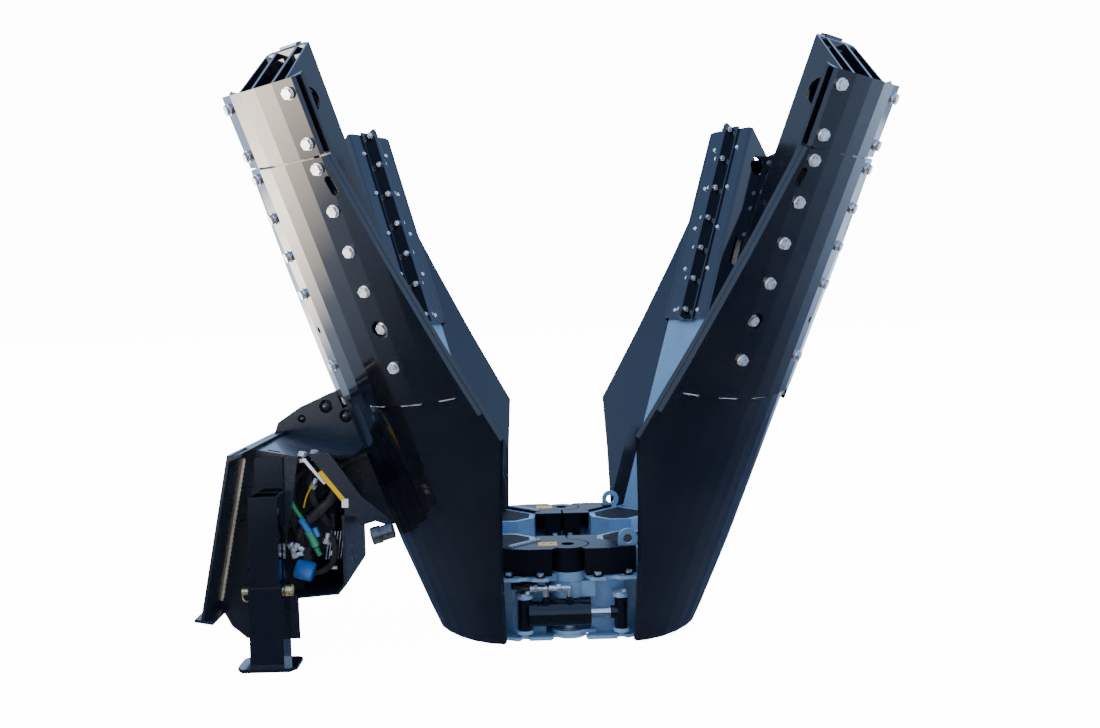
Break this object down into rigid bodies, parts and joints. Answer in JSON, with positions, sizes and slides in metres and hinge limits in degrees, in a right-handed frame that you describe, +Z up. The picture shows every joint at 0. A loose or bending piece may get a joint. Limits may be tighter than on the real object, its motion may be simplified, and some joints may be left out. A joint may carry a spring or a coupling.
{
  "type": "four-blade tree spade",
  "caption": "Hydraulic tree spade for a loader: curved digging blades slide down leaning masts on a ring whose front half opens as two gates.",
  "frame": {"origin": "where the axis of the tree, midway between the masts, meets the ground", "axes": "+Z up, +X from the loader mount to the opening gates, +Y from the parking stand side to the other"},
  "size_m": [1.8044, 1.6706, 1.593],
  "materials": {
    "gloss_black": "glossy black powder coat",
    "light_blue": "semi-gloss blue-grey enamel",
    "zinc": "bright zinc plate",
    "yellow_zinc": "yellow chromate zinc",
    "chrome_rod": "polished hard chrome",
    "slide_plastic": "white sliding plastic",
    "valve_metal": "black painted casting",
    "hose_rubber": "black wrapped hydraulic hose"
  },
  "bodies": {
    "frame": {"rear_masts": "light_blue", "rear_barrels": "gloss_black", "rear_ring": "light_blue", "rear_covers": "gloss_black", "frame_fixings": "zinc", "mount_frame": "gloss_black", "ring_brackets": "gloss_black", "bay_guard": "gloss_black", "valve": "valve_metal", "hoses": "hose_rubber", "hose_coupler": "zinc", "stand_tube": "gloss_black"},
    "gate_near": {"gate_mast_near": "light_blue", "gate_barrel_near": "gloss_black", "gate_ring_near": "light_blue", "gate_cover_near": "gloss_black", "gate_fixings_near": "zinc"},
    "swing_cylinder_near": {"swing_barrel_near": "gloss_black"},
    "swing_piston_near": {"swing_rod_near": "chrome_rod"},
    "gate_far": {"gate_mast_far": "light_blue", "gate_barrel_far": "gloss_black", "gate_ring_far": "light_blue", "gate_cover_far": "gloss_black", "gate_fixings_far": "zinc"},
    "swing_cylinder_far": {"swing_barrel_far": "gloss_black"},
    "swing_piston_far": {"swing_rod_far": "chrome_rod"},
    "tower_rear_near": {"blade_rear_near": "gloss_black", "backing_rear_near": "gloss_black", "cap_rear_near": "gloss_black", "carriage_rear_near": "gloss_black", "spine_rear_near": "gloss_black", "pads_rear_near": "slide_plastic", "bolts_rear_near": "zinc", "rod_rear_near": "chrome_rod"},
    "tower_rear_far": {"blade_rear_far": "gloss_black", "backing_rear_far": "gloss_black", "cap_rear_far": "gloss_black", "carriage_rear_far": "gloss_black", "spine_rear_far": "gloss_black", "pads_rear_far": "slide_plastic", "bolts_rear_far": "zinc", "rod_rear_far": "chrome_rod"},
    "tower_front_near": {"blade_front_near": "gloss_black", "backing_front_near": "gloss_black", "cap_front_near": "gloss_black", "carriage_front_near": "gloss_black", "spine_front_near": "gloss_black", "pads_front_near": "slide_plastic", "bolts_front_near": "zinc", "rod_front_near": "chrome_rod"},
    "tower_front_far": {"blade_front_far": "gloss_black", "backing_front_far": "gloss_black", "cap_front_far": "gloss_black", "carriage_front_far": "gloss_black", "spine_front_far": "gloss_black", "pads_front_far": "slide_plastic", "bolts_front_far": "zinc", "rod_front_far": "chrome_rod"},
    "stand_slide": {"stand_leg": "gloss_black", "hitch_pin": "yellow_zinc"}
  },
  "joints": [
    {"name": "gate_near_swing", "type": "hinge", "parent": "frame", "child": "gate_near", "pos_m": [0, -0.283, 0.1], "axis": [0, 0, 1], "range_deg": [-30, 0]},
    {"name": "cylinder_near_swing", "type": "hinge", "parent": "frame", "child": "swing_cylinder_near", "pos_m": [-0.125, -0.34, 0.084], "axis": [0, 0, 1], "range_deg": [-16.3, 0.1]},
    {"name": "cylinder_near_stroke", "type": "slide", "parent": "swing_cylinder_near", "child": "swing_piston_near", "axis": [1, 0, 0], "range_m": [-0.0388, 0.0002]},
    {"name": "gate_far_swing", "type": "hinge", "parent": "frame", "child": "gate_far", "pos_m": [0, 0.283, 0.1], "axis": [0, 0, -1], "range_deg": [-30, 0]},
    {"name": "cylinder_far_swing", "type": "hinge", "parent": "frame", "child": "swing_cylinder_far", "pos_m": [-0.125, 0.34, 0.084], "axis": [0, 0, -1], "range_deg": [-16.3, 0.1]},
    {"name": "cylinder_far_stroke", "type": "slide", "parent": "swing_cylinder_far", "child": "swing_piston_far", "axis": [1, 0, 0], "range_m": [-0.0388, 0.0002]},
    {"name": "blade_rear_near_slide", "type": "slide", "parent": "frame", "child": "tower_rear_near", "axis": [0.282, 0.282, -0.9171], "range_m": [0, 0.56]},
    {"name": "blade_rear_far_slide", "type": "slide", "parent": "frame", "child": "tower_rear_far", "axis": [0.282, -0.282, -0.9171], "range_m": [0, 0.56]},
    {"name": "blade_front_near_slide", "type": "slide", "parent": "gate_near", "child": "tower_front_near", "axis": [-0.282, 0.282, -0.9171], "range_m": [0, 0.56]},
    {"name": "blade_front_far_slide", "type": "slide", "parent": "gate_far", "child": "tower_front_far", "axis": [-0.282, -0.282, -0.9171], "range_m": [0, 0.56]},
    {"name": "stand_leg_slide", "type": "slide", "parent": "frame", "child": "stand_slide", "axis": [0, 0, 1], "range_m": [0, 0.16]}
  ],
  "couplings": [
    {"joint": "cylinder_near_swing", "follows": "gate_near_swing", "ratio": 0.54},
    {"joint": "cylinder_near_stroke", "follows": "gate_near_swing", "m_per_rad": 0.071},
    {"joint": "cylinder_far_swing", "follows": "gate_far_swing", "ratio": 0.54},
    {"joint": "cylinder_far_stroke", "follows": "gate_far_swing", "m_per_rad": 0.071}
  ]
}
